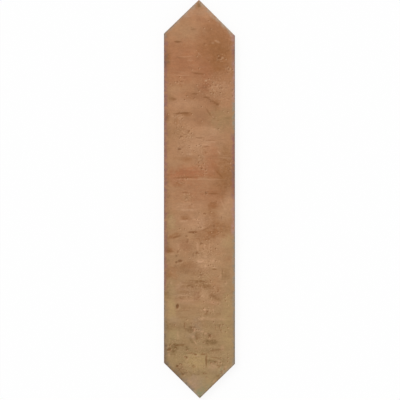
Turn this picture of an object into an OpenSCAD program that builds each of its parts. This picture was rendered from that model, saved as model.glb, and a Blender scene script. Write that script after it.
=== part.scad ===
// Picket zellige tile: one piece of hand-cut, unglazed fired clay, lying on its back.
// Millimetres, +Z up. The face is up and the head points along +Y. The origin is the
// middle of the outline, on the plane that the back rests on.

/* [Outline] */
// Length from point to point
tile_length = 398.5; // [240:0.5:480]
// Width between the long sides
tile_width = 71; // [50:0.5:100]
// Angle between the two cut sides of each point
point_angle = 91; // [75:1:110]

/* [Hand cutting] */
// How far the tip of the head strays across the tile
head_tip_stray = -0.5; // [-2:0.1:2]
// How far the tip of the foot strays across the tile
foot_tip_stray = 0.3; // [-2:0.1:2]
// How much higher the left head shoulder lies than the right one
head_skew = 2; // [-4:0.1:4]
// How much higher the left foot shoulder lies than the right one
foot_skew = 1; // [-4:0.1:4]

/* [Section] */
// Thickness from the back to the crown of the face
tile_thickness = 11; // [9:0.5:16]
// Rise of the face from its rim to its crown
face_crown = 0.6; // [0.2:0.1:1.2]
// Radius of the worn arris round the face
arris_radius = 1.5; // [0.8:0.1:2.5]
// Height of the steep land under the arris
land_height = 2; // [1:0.25:3]
// Lean of the land towards the back, in degrees
land_lean = 3; // [1:0.5:6]
// Lean of the chiselled side below the land, in degrees
undercut_lean = 12; // [4:1:20]
// Width of the bevel where the side meets the back
back_bevel = 0.8; // [0.4:0.1:1.5]

/* [Face hollows] */
// Distance along the face from one beaten hollow to the next
hollow_pitch = 36; // [30:1:60]
// Width of a beaten hollow
hollow_width = 30; // [16:1:34]
// Depth of the deepest hollow
hollow_depth = 0.35; // [0.15:0.05:0.6]
// Share of that depth by which the faintest hollow falls short of it
hollow_unevenness = 0.5; // [0:0.1:0.8]

/* [Pits and chips] */
// Width of the largest pit in the face
pit_width = 4; // [2:0.5:6]
// Depth of the largest pit in the face
pit_depth = 0.9; // [0.4:0.1:1.5]
// Width of the largest chip in the arris
chip_width = 6; // [3:0.5:9]
// Depth of the largest chip, measured square to the arris
chip_depth = 0.6; // [0.3:0.1:0.9]

/* [Hidden] */

// Fineness of the balls that cut hollows, pits and chips
$fn = 96;

// Flat steps that stand for the round of the arris and for the swell of the face
arris_steps = 8;
crown_steps = 6;

// Turn that makes one hollow fainter than the next, in degrees
hollow_turn = 55;

// Angle above level from which the arris was chipped, in degrees
chip_angle = 45;

half_width = tile_width / 2;
half_length = tile_length / 2;
shoulder_y = half_length - half_width / tan(point_angle / 2);
rim_height = tile_thickness - face_crown;

// Corners of the widest outline, counter-clockwise from the head
corners = [
  [head_tip_stray, half_length],
  [-half_width, shoulder_y + head_skew / 2],
  [-half_width, -shoulder_y + foot_skew / 2],
  [foot_tip_stray, -half_length],
  [half_width, -shoulder_y - foot_skew / 2],
  [half_width, shoulder_y - head_skew / 2]
];
side_count = len(corners);

// Sides by name: side i runs from corner i to the next corner
head_left = 0;
long_left = 1;
foot_left = 2;
foot_right = 3;
long_right = 4;
head_right = 5;

// A section is wide and long enough to reach over the whole tile
section_reach = tile_length + tile_width;

// Pits: place across and along as shares of the half width and half length, then the
// share that the pit has of the largest one
pits = [
  [-0.62, -0.54, 1],
  [-0.51, 0.31, 0.5],
  [-0.30, 0.34, 0.5],
  [0.26, 0.70, 0.5],
  [0.59, 0.71, 0.6],
  [-0.35, -0.22, 0.5],
  [-0.57, -0.31, 0.5],
  [0.30, -0.69, 0.6],
  [0.45, -0.82, 0.6],
  [-0.18, -0.84, 0.6],
  [-0.62, -0.84, 0.5],
  [-0.86, -0.75, 0.6]
];

// Chips: side, place along it as a share of its length, then the share that the chip has
// of the largest one
chips = [
  [head_left, 0.36, 0.5],
  [head_left, 0.50, 0.5],
  [head_left, 0.91, 0.9],
  [long_left, 0.09, 0.6],
  [long_left, 0.88, 0.7],
  [long_left, 0.95, 0.9],
  [foot_left, 0.08, 0.5],
  [foot_left, 0.29, 1],
  [foot_left, 0.47, 0.8],
  [foot_right, 0.32, 0.6],
  [foot_right, 0.61, 0.8],
  [long_right, 0.05, 0.6],
  [head_right, 0.29, 0.7]
];

function side_start(i) = corners[i];
function side_end(i) = corners[(i + 1) % side_count];
function side_run(i) = side_end(i) - side_start(i);
function along_side(i, share) = side_start(i) + share * side_run(i);
function inward_angle(i) = atan2(side_run(i).y, side_run(i).x) + 90;
function inward(i) = [cos(inward_angle(i)), sin(inward_angle(i))];

// Distance of a point from side i, towards the middle of the tile
function inset_from(i, place) = (place - side_start(i)) * inward(i);

// Height of the swelling face at a distance in from one side
function crown_height(inset) =
  tile_thickness
  - face_crown * pow(max(0, half_width - inset) / (half_width - arris_radius), 2);

// Height of the face where every side has its say
function face_height(place) =
  min([for (i = [0:side_count - 1]) crown_height(inset_from(i, place))]);

function arc(centre, radius, from, to, steps) = [
  for (i = [0:steps])
    let (angle = from + (to - from) * i / steps)
      centre + radius * [cos(angle), sin(angle)]
];

// Radius of a ball that leaves a dish of this width and depth in a flat face
function dish_radius(width, depth) = (pow(width / 2, 2) + pow(depth, 2)) / (2 * depth);

// Section square to a side: x is the distance in from the outline, y is the height
function section() =
  let (
    arris_centre = [arris_radius, rim_height - arris_radius],
    arris = arc(arris_centre, arris_radius, 180 + land_lean, 90, arris_steps),
    land_top = arris[0],
    land_foot = land_top + land_height * [tan(land_lean), -1],
    bevel_top = [
      land_foot.x + (land_foot.y - back_bevel) * tan(undercut_lean),
      back_bevel
    ],
    crown_step = (half_width - arris_radius) / crown_steps,
    crown = [
      for (i = [1:crown_steps])
        let (inset = arris_radius + i * crown_step) [inset, crown_height(inset)]
    ],
    crown_slope = (crown[crown_steps - 1].y - crown[crown_steps - 2].y) / crown_step,
    far_height = tile_thickness + crown_slope * (section_reach - half_width)
  )
  concat(
    [[bevel_top.x + back_bevel, 0], bevel_top, land_foot],
    arris,
    crown,
    [[section_reach, far_height], [section_reach, 0]]
  );

// All the clay on the tile's side of side i, with that side's section
module side_body(i) {
  translate(along_side(i, 0.5))
    rotate([0, 0, inward_angle(i)])
      rotate([90, 0, 0])
        linear_extrude(height = 2 * section_reach, center = true)
          polygon(section());
}

// The tile as the cutter shaped it, with mitred corners where two sections meet
module blank() {
  intersection_for (i = [0:side_count - 1]) side_body(i);
}

// Ball that cuts a round dish into the face
module dish(place, width, depth) {
  radius = dish_radius(width, depth);
  translate([place.x, place.y, face_height(place) - depth + radius])
    sphere(r = radius);
}

// Shallow hollows left by beating the clay flat, alternately left and right
module hollows() {
  count = floor(2 * shoulder_y / hollow_pitch);
  for (i = [0:count - 1]) {
    side = i % 2 == 0 ? -1 : 1;
    strength = 1 - hollow_unevenness * pow(sin(hollow_turn * i), 2);
    place = [
      side * (half_width - arris_radius - hollow_width / 2) / 2,
      (i - (count - 1) / 2) * hollow_pitch
    ];
    dish(place, hollow_width, hollow_depth * strength);
  }
}

// Open pits where grit or air came out of the clay
module face_pits() {
  for (pit = pits)
    dish([pit[0] * half_width, pit[1] * half_length], pit_width * pit[2], pit_depth * pit[2]);
}

// Ball that knocks a shell-shaped chip off the arris of side i
module chip(i, share, width, depth) {
  radius = dish_radius(width, depth);
  stand_off = arris_radius + radius - depth;
  middle = along_side(i, share) + (arris_radius - stand_off * cos(chip_angle)) * inward(i);
  translate([middle.x, middle.y, rim_height - arris_radius + stand_off * sin(chip_angle)])
    sphere(r = radius);
}

module edge_chips() {
  for (mark = chips) chip(mark[0], mark[1], chip_width * mark[2], chip_depth * mark[2]);
}

module tile() {
  color("#a67d5b")
    difference() {
      blank();
      hollows();
      face_pits();
      edge_chips();
    }
}

tile();
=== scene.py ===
"""Dresses the picket zellige tile: one matt, unglazed slip of hand-cut terracotta lying face up.

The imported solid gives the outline, the worn arris, the chiselled sides, the beaten hollows, the pits and
the chips. Here a finer blank is wrapped onto it, the smaller marks are pressed into its face, its cut sides
are torn, and the fired clay gets its mottled colour. Lengths are metres, unless a comment says otherwise.
"""

import logging
import math
from collections.abc import Iterable
from dataclasses import dataclass, field, replace
from enum import Enum
from functools import cached_property

import bmesh
import bpy
import numpy as np
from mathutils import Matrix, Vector, noise


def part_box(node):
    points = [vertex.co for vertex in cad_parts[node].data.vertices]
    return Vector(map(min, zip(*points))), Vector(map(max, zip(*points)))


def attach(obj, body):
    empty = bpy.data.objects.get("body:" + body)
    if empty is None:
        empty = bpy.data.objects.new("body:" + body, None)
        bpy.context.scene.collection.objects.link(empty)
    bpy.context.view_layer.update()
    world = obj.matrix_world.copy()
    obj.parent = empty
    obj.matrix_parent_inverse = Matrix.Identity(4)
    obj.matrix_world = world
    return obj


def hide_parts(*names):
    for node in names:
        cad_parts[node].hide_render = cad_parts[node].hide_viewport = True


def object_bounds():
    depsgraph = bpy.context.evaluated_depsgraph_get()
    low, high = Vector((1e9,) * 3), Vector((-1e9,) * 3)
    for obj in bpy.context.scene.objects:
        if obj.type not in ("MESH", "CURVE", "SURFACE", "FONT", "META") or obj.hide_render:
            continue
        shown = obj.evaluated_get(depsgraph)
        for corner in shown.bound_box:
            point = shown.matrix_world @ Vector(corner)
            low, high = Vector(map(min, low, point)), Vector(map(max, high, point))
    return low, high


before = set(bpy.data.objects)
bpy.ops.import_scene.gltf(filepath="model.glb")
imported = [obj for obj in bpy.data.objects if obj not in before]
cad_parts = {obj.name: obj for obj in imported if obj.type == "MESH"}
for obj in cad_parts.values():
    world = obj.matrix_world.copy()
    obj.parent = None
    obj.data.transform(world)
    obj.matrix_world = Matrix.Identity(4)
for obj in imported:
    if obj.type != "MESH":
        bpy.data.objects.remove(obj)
CAD_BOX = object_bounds()

LOG = logging.getLogger("zellige_tile")
MM = 0.001
NODE = "tile"
BODY = "root"
LEAST_WEIGHT = 0.002
NOISE_SHIFT = Vector((7.3, 1.9, 4.1))
ROUND_POWER = 2
CRISP_POWER = 4
CRISP_EDGE = 0.5

Socket = bpy.types.NodeSocket
Pixel = tuple[float, float]
Colour = tuple[int, int, int]


def linear(colour: Colour) -> tuple[float, float, float, float]:
    """Turns a colour in 0 to 255 into the linear one that a shader takes.

    Args:
        colour: Red, green and blue as a screen shows them.

    Returns:
        Red, green, blue and a full alpha.
    """
    shares = (part / 255 for part in colour)
    red, green, blue = (s / 12.92 if s <= 0.04045 else ((s + 0.055) / 1.055) ** 2.4 for s in shares)
    return red, green, blue, 1.0


def ease(share: np.ndarray) -> np.ndarray:
    """Smooths a rise from 0 to 1, so that it starts and ends level."""
    held = np.clip(share, 0.0, 1.0)
    return held * held * (3 - 2 * held)


def climb(values: np.ndarray, low: float, high: float) -> np.ndarray:
    """Eases values from 0 at one level to 1 at another.

    Args:
        values: The values.
        low: Level up to which the result is 0.
        high: Level from which it is 1.

    Returns:
        One share for each value.
    """
    return ease((values - low) / (high - low))


@dataclass(frozen=True)
class PhotoGrid:
    """Where the photograph's pixels lie on the tile's face.

    Args:
        side: Pixels across the picture.
        middle: Pixel at the tile's middle.
        pixel: Width that a pixel shows of the tile.
    """

    side: int = 400
    middle: Pixel = (199.46, 199.0)
    pixel: float = 0.99977 * MM

    def place(self, at: Pixel) -> tuple[float, float]:
        """Gives the place on the tile that a pixel shows."""
        return (at[0] - self.middle[0]) * self.pixel, (self.middle[1] - at[1]) * self.pixel


class Tint(Enum):
    """Stains that the kiln and the clay leave in the face."""

    SMOKE = "smoke"
    RUST = "rust"
    PLUM = "plum"
    OLIVE = "olive"
    OCHRE = "ochre"
    MAUVE = "mauve"
    LICHEN = "lichen"
    EARTH = "earth"
    UMBER = "umber"
    PALE = "pale"


class Press(Enum):
    """Small marks that are pressed into the face."""

    PIT = "pit"
    GROOVE = "groove"


class Fleck(Enum):
    """Fine texture that shows in some places and not in others."""

    GRIT = "grit"
    STREAK = "streak"


class Rim(Enum):
    """Colours along the arris, left by wear and handling; the thin dark lines of soot and ash are painted
    shade.
    """

    BROWN = "brown_rim"
    MAROON = "maroon_rim"
    KHAKI = "khaki_rim"
    ROSE = "rose_rim"
    GREY = "grey_rim"
    DUST = "dust_rim"
    SOOT = "soot_rim"
    ASH = "ash_rim"


@dataclass(frozen=True)
class Patch:
    """A soft-edged patch on the face, placed one by one.

    Args:
        at: Pixel at its middle.
        size: Length and width in millimetres.
        strength: Share of the full effect.
        turn: Degrees that its length is turned from level, anticlockwise.
        crisp: Whether it is squarer, with a harder edge.
    """

    at: Pixel
    size: tuple[float, float]
    strength: float
    turn: float = 0.0
    crisp: bool = False


@dataclass(frozen=True)
class Edge:
    """How a kind of patch ends.

    Args:
        softness: Share of a narrow patch's half size over which it fades.
        fray: Most that its edge strays, as a share of its width.
    """

    softness: float
    fray: float


@dataclass(frozen=True)
class RimBand:
    """A stretch of arris that took one colour.

    Args:
        start: Corner where its side starts, counted anticlockwise from the head.
        stretch: Shares of that side's length between which it lies.
        width: How far it reaches in from the outline, in millimetres.
        strength: Share of the full colour.
    """

    start: int
    stretch: tuple[float, float]
    width: float
    strength: float


# The marks below were placed on enlarged pictures of the photograph and of how the render differed
# from it. Their strengths were set one by one and corrected against mean colours of some areas.
STAINS: dict[Tint, tuple[Patch, ...]] = {
    Tint.SMOKE: (
        Patch((217, 50), (28, 50), 0.72),
        Patch((219, 56), (18, 28), 0.72),
        Patch((207, 34), (14, 24), 0.15),
        Patch((203, 52), (12, 20), 0.4),
        Patch((182, 47), (24, 6), 0.25),
        Patch((186, 64), (36, 30), 0.18),
        Patch((188, 174), (26, 8), 0.45),
        Patch((178, 172), (10, 4), 0.3, turn=20),
        Patch((166.5, 57), (5, 6), 0.6, crisp=True),
        Patch((173, 99.5), (8, 4), 0.45, turn=-30),
        Patch((192, 96), (16, 8), 0.3, turn=-20),
        Patch((172, 132), (14, 12), 0.22),
        Patch((182, 158.5), (24, 3), 0.25),
        Patch((167, 60), (7, 20), 0.75),
        Patch((166, 65), (5, 4), 0.5),
        Patch((199, 5), (3.5, 4), 0.7),
        Patch((218, 68), (9, 6), 0.55),
        Patch((215, 103), (9, 6), 0.6, turn=-20),
        Patch((217, 108), (7, 6), 0.35),
        Patch((204, 123), (12, 7), 0.4),
        Patch((166, 117), (7, 8), 0.65),
        Patch((187, 114.5), (10, 3.5), 0.6),
        Patch((176, 122), (6, 6), 0.35),
        Patch((227, 172), (18, 44), 0.75),
        Patch((217, 170), (18, 5), 0.65, turn=-62),
        Patch((219, 188), (24, 15), 0.4),
        Patch((213, 176), (14, 6), 0.55),
        Patch((227, 163), (14, 6), 0.35),
        Patch((178, 184), (8, 6), 0.65),
        Patch((187, 160), (10, 5), 0.4),
        Patch((212, 193), (18, 4), 0.45, turn=5),
        Patch((212.5, 205.5), (10, 6), 0.6, turn=20, crisp=True),
        Patch((212, 219), (14, 30), 0.48),
        Patch((195, 231.5), (12, 3), 0.5),
        Patch((186, 245), (8, 13), 0.25, turn=30),
        Patch((220, 229), (30, 13), 0.6, turn=5),
        Patch((205, 236), (24, 9), 0.4, turn=8),
        Patch((190, 208), (3, 5), 0.55),
        Patch((185.5, 218.5), (8, 6), 0.75),
        Patch((174, 236), (14, 5), 0.6, turn=20),
        Patch((168, 250), (11, 6), 0.8),
        Patch((170.5, 272), (14, 13), 0.3, crisp=True),
        Patch((168.5, 275), (7, 5), 0.25),
        Patch((188, 265), (16, 7), 0.35, crisp=True),
    ),
    Tint.EARTH: (
        Patch((227, 172), (16, 40), 0.2),
        Patch((188, 265.5), (17, 7), 0.25),
        Patch((181, 268), (12, 7), 0.25),
        Patch((191, 272), (26, 5), 0.3, turn=-3),
        Patch((198, 284), (24, 9), 0.22),
        Patch((223, 119), (18, 18), 0.15),
        Patch((197.5, 280.7), (20, 1.4), 0.65, crisp=True),
        Patch((200.5, 282.3), (10, 2.6), 0.6, crisp=True),
        Patch((192, 286), (11, 4.5), 0.5, crisp=True),
        Patch((183, 286.5), (8, 3), 0.3),
        Patch((183, 292), (13, 3), 0.4, crisp=True),
        Patch((204.8, 286.2), (12, 4.4), 0.75, turn=-4, crisp=True),
        Patch((214, 296.5), (13, 5), 0.55, turn=-35),
        Patch((219, 299), (6, 4), 0.45),
        Patch((225.5, 274), (8, 11), 0.35, crisp=True),
        Patch((182.5, 298), (6, 2.6), 0.35, crisp=True),
        Patch((186, 308), (18, 3), 0.3),
        Patch((178, 312), (5, 12), 0.25),
        Patch((206.5, 313), (8, 3), 0.5, turn=45),
        Patch((218.5, 313.8), (5, 3), 0.5),
        Patch((213, 316), (10, 5), 0.25),
        Patch((183, 317.5), (8, 3), 0.35),
        Patch((229.5, 316.5), (4, 2), 0.4),
        Patch((198, 336), (4, 7), 0.4, crisp=True),
        Patch((190.3, 329.5), (5, 6), 0.4, crisp=True),
        Patch((185.5, 327), (2.6, 10), 0.35, crisp=True),
        Patch((211.5, 341), (15, 8), 0.35),
        Patch((172, 326), (18, 7), 0.3),
        Patch((218.5, 376), (4, 2), 0.4, turn=45),
    ),
    Tint.RUST: (
        Patch((184, 64), (44, 34), 0.55),
        Patch((187, 173), (32, 12), 0.9, turn=4),
        Patch((171, 176), (15, 14), 0.6),
        Patch((190, 183), (26, 10), 0.4),
        Patch((203, 171), (24, 14), 0.4),
        Patch((177, 179), (14, 5), 0.4),
        Patch((206, 146), (7, 4), 0.35),
        Patch((229, 259), (8, 6), 0.3),
        Patch((206, 72), (12, 18), 0.5),
        Patch((205, 87), (11, 9), 0.75),
        Patch((186, 207), (30, 12), 0.14),
        Patch((182, 248), (20, 14), 0.15),
        Patch((212, 157), (13, 32), 0.55),
        Patch((199, 196), (50, 18), 0.42),
        Patch((170, 273), (13, 11), 0.15),
        Patch((172, 212), (8, 8), 0.15),
        Patch((214, 284), (12, 14), 0.25),
        Patch((186, 300), (22, 6), 0.25),
        Patch((214, 302), (10, 5), 0.2),
        Patch((222, 86), (20, 12), 0.2),
    ),
    Tint.PLUM: (
        Patch((204, 117), (24, 15), 0.42, turn=-20),
        Patch((201, 94), (14, 14), 0.55),
        Patch((198.5, 18.5), (5, 6), 0.3),
        Patch((189, 17.5), (6, 2), 0.22),
        Patch((211, 104), (16, 10), 0.4, turn=-30),
        Patch((205, 87), (8, 6), 0.35),
        Patch((185, 245), (9, 15), 0.25, turn=30),
        Patch((192, 269), (34, 8), 0.35),
        Patch((197.3, 295.5), (7, 9), 0.55, crisp=True),
        Patch((200.5, 289), (1.2, 4), 0.5, crisp=True),
        Patch((186, 290), (18, 10), 0.3),
        Patch((177, 287), (12, 7), 0.28),
        Patch((201.5, 288), (9, 8), 0.28),
        Patch((215, 294), (14, 10), 0.3),
        Patch((180, 369), (12, 6), 0.25, turn=-45),
    ),
    Tint.OLIVE: (
        Patch((222, 120), (22, 22), 0.55),
        Patch((184, 30), (26, 18), 0.3),
        Patch((175, 88), (20, 10), 0.2),
        Patch((171, 221), (9, 20), 0.3),
        Patch((228, 246), (12, 34), 0.25),
        Patch((225.5, 274), (8, 11), 0.15, crisp=True),
        Patch((171, 337), (13, 22), 0.8),
        Patch((229, 300), (11, 60), 0.3),
        Patch((170.5, 289), (9, 22), 0.55),
        Patch((225.5, 295.5), (4.5, 5), 0.4, crisp=True),
        Patch((185, 354), (12, 10), 0.2),
        Patch((177, 356), (18, 14), 0.55),
    ),
    Tint.OCHRE: (
        Patch((197, 361), (20, 16), 0.85),
        Patch((171.5, 309), (8, 20), 0.45, crisp=True),
        Patch((228, 306), (9, 26), 0.3),
        Patch((227, 335), (12, 30), 0.45),
        Patch((229, 340), (8, 12), 0.3),
        Patch((171, 222), (8, 14), 0.35),
        Patch((227, 242), (10, 10), 0.35),
        Patch((173, 334), (8, 9), 0.4),
        Patch((186, 197), (10, 6), 0.18),
    ),
    Tint.MAUVE: (
        Patch((197, 326), (10, 14), 0.6),
        Patch((193, 383), (18, 16), 0.75, turn=20),
        Patch((191, 335), (9, 8), 0.35),
        Patch((200, 12), (14, 9), 0.3),
        Patch((184, 291), (28, 12), 0.22),
        Patch((213, 370), (12, 8), 0.15),
        Patch((174, 321), (12, 9), 0.35),
        Patch((180, 284.5), (10, 3), 0.25, turn=42),
        Patch((188, 301), (18, 6), 0.2),
    ),
    Tint.LICHEN: (
        Patch((199.8, 396), (10, 9), 0.85),
        Patch((201, 390), (9, 6), 0.4, turn=30),
        Patch((210, 384), (12, 4), 0.3, turn=45),
        Patch((202, 383), (8, 8), 0.18),
        Patch((222, 371), (6, 8), 0.45),
        Patch((172, 336), (14, 20), 0.1),
        Patch((183, 347), (16, 12), 0.08),
    ),
    Tint.UMBER: (
        Patch((199.2, 4.5), (6, 7), 0.6),
        Patch((173.5, 347.5), (9, 9), 0.82, turn=15),
        Patch((180, 345.3), (11, 2.4), 0.4),
        Patch((190.3, 329.5), (5, 6), 0.4, crisp=True),
        Patch((192.5, 341.5), (9, 3), 0.4, turn=-50),
        Patch((187, 348), (5, 2), 0.4, turn=-45),
        Patch((170, 350), (6, 4), 0.55),
        Patch((167, 326), (9, 6), 0.5),
        Patch((165.5, 324), (4, 7), 0.6),
        Patch((165.5, 347), (4, 7), 0.7),
        Patch((172, 353), (9, 6), 0.35),
        Patch((180, 369), (13, 7), 0.45, turn=-45),
        Patch((222.3, 273.5), (1.4, 11), 0.25, crisp=True),
        Patch((228, 118), (6, 3), 0.35),
        Patch((170, 97), (9, 8), 0.25),
        Patch((211.5, 342), (12.5, 5), 0.78, turn=-3),
        Patch((208, 335), (9, 5), 0.35),
        Patch((200, 326), (66, 11), 0.22),
        Patch((185, 345), (14, 16), 0.28),
        Patch((211, 361), (9, 5), 0.55, turn=-10),
        Patch((175, 373), (14, 5), 0.55, turn=-45),
        Patch((196, 337), (5, 8), 0.3),
        Patch((197, 373), (34, 4), 0.35),
        Patch((206, 362), (2, 10), 0.45),
        Patch((203, 350), (36, 5), 0.28),
        Patch((217, 377), (10, 4), 0.4, turn=45),
        Patch((165.5, 357), (4, 12), 0.5),
        Patch((165.5, 60), (4, 16), 0.25),
        Patch((222, 362), (8, 8), 0.25),
    ),
    Tint.PALE: (
        Patch((204, 262), (22, 14), 0.28),
        Patch((199.4, 261), (4, 2.8), 0.85),
        Patch((201.8, 261.3), (4, 2.6), 0.7),
        Patch((197.5, 246), (2.5, 8), 0.5),
        Patch((206, 137), (28, 24), 0.3),
        Patch((203, 145.5), (14, 3), 0.45),
        Patch((211, 142), (12, 2), 0.35),
        Patch((214, 132), (8, 7), 0.3),
        Patch((198, 223), (24, 14), 0.35),
        Patch((184, 221), (8, 2.4), 0.55, turn=5),
        Patch((187, 210), (16, 2.6), 0.5),
        Patch((201, 179.4), (44, 1.8), 0.24),
        Patch((177, 179), (10, 6), 0.1),
        Patch((226, 158), (14, 2), 0.25, turn=-8),
        Patch((229, 196), (8, 14), 0.25),
        Patch((221, 87), (20, 9), 0.25),
        Patch((176, 91), (16, 9), 0.1),
        Patch((182, 104), (28, 9), 0.25),
        Patch((190, 146), (20, 14), 0.28),
        Patch((222, 243), (14, 12), 0.15),
        Patch((188, 206), (30, 9), 0.25),
        Patch((172, 222), (8, 9), 0.18),
        Patch((228, 204), (9, 14), 0.2),
        Patch((184, 30), (28, 16), 0.2),
        Patch((194, 13), (16, 9), 0.08, turn=40),
        Patch((207, 14), (12, 10), 0.25, turn=-40),
        Patch((217, 41.5), (6, 2.4), 0.42, turn=-25),
        Patch((213, 43), (3, 2), 0.28),
        Patch((206, 80.7), (2.2, 2.0), 0.75),
        Patch((185, 57), (14, 1.4), 0.28, turn=3),
        Patch((190, 60.5), (5, 1.6), 0.28),
        Patch((183, 75.3), (13, 1.0), 0.35),
        Patch((183, 73), (10, 1.0), 0.22, turn=-3),
        Patch((199.5, 222.5), (10, 1.4), 0.35, turn=-56),
        Patch((203, 227), (4, 2), 0.4, turn=-30),
        Patch((204.5, 246.5), (1.8, 5), 0.32),
        Patch((209.5, 245.5), (1.6, 5), 0.32),
        Patch((202.5, 251), (3.4, 1.6), 0.32, turn=40),
        Patch((199, 256), (1.8, 3.4), 0.35),
        Patch((206.5, 257), (5, 1.4), 0.3),
        Patch((213, 261), (1.5, 6), 0.3),
        Patch((206, 266), (4, 2.6), 0.38),
        Patch((215, 267.4), (6, 1.2), 0.28),
        Patch((178, 246), (3, 6), 0.25, turn=20),
        Patch((181, 246), (18, 11), 0.1),
        Patch((172, 254), (8, 1.6), 0.3),
        Patch((225, 254), (7, 1.2), 0.28),
        Patch((186, 204), (20, 1.4), 0.28),
        Patch((223, 205), (1.6, 12), 0.25, turn=25),
        Patch((193.5, 337), (3, 3.4), 0.35, turn=20),
        Patch((194.3, 329), (2.4, 2), 0.35),
        Patch((205.5, 333.5), (2.4, 2.4), 0.35),
        Patch((171, 283), (2.4, 3), 0.35),
        Patch((180, 284.5), (10, 3), 0.2, turn=42),
        Patch((204.5, 295), (7, 10), 0.22, crisp=True),
        Patch((213, 302.5), (14, 3), 0.25, turn=-8),
        Patch((184, 302), (16, 4), 0.18),
        Patch((220.8, 276), (1.6, 3), 0.4),
        Patch((226, 283), (2.4, 3.4), 0.4),
        Patch((181.5, 295.5), (12, 1.4), 0.3),
        Patch((204.7, 309.6), (2.4, 2), 0.55, crisp=True),
        Patch((209.7, 310), (1.8, 3), 0.4, crisp=True),
        Patch((213, 309.8), (2, 2), 0.55, crisp=True),
        Patch((202, 317.8), (4, 3), 0.35),
        Patch((187.5, 309.3), (8, 1), 0.25),
        Patch((211, 292.8), (1.4, 1.2), 0.5),
        Patch((213, 319), (24, 2.6), 0.25),
        Patch((177.5, 335), (2, 8), 0.3),
        Patch((189, 383), (10, 5), 0.2, turn=-45),
        Patch((222, 214), (12, 12), 0.2),
        Patch((213, 366), (10, 6), 0.3),
        Patch((190, 154), (6, 1.6), 0.5),
        Patch((229.6, 69), (2.6, 2.0), 0.55),
        Patch((222.5, 58), (1.8, 2.4), 0.5),
        Patch((212, 86.5), (1.7, 1.7), 0.5),
        Patch((217, 86), (1.9, 1.7), 0.5),
        Patch((222, 89), (1.7, 1.7), 0.5),
        Patch((214.5, 95), (1.8, 1.8), 0.55),
        Patch((180.5, 117.5), (5, 2.0), 0.4, turn=30),
        Patch((194.2, 331), (2.2, 2.4), 0.5),
        Patch((202, 331.5), (4, 1.6), 0.4, turn=10),
        Patch((206.5, 333.5), (3, 1.4), 0.4, turn=40),
        Patch((195, 342), (6, 1.2), 0.35, turn=-50),
        Patch((222, 348), (4, 5), 0.35),
        Patch((169, 354.5), (2.2, 3.2), 0.5),
        Patch((184.5, 356.5), (1.6, 2.0), 0.5),
        Patch((219, 361), (3, 2), 0.35, turn=-30),
        Patch((222.5, 371), (1.6, 5), 0.4),
        Patch((225, 367.5), (5, 2.4), 0.32, turn=45),
        Patch((214.5, 380.5), (6, 2.4), 0.28, turn=45),
        Patch((219, 152.5), (5, 1.4), 0.28, turn=-50),
        Patch((228, 164), (9, 1.2), 0.28, turn=5),
        Patch((192, 300.5), (12, 1.2), 0.24),
        Patch((210, 218), (1.4, 6), 0.2, turn=20),
    ),
}

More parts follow.
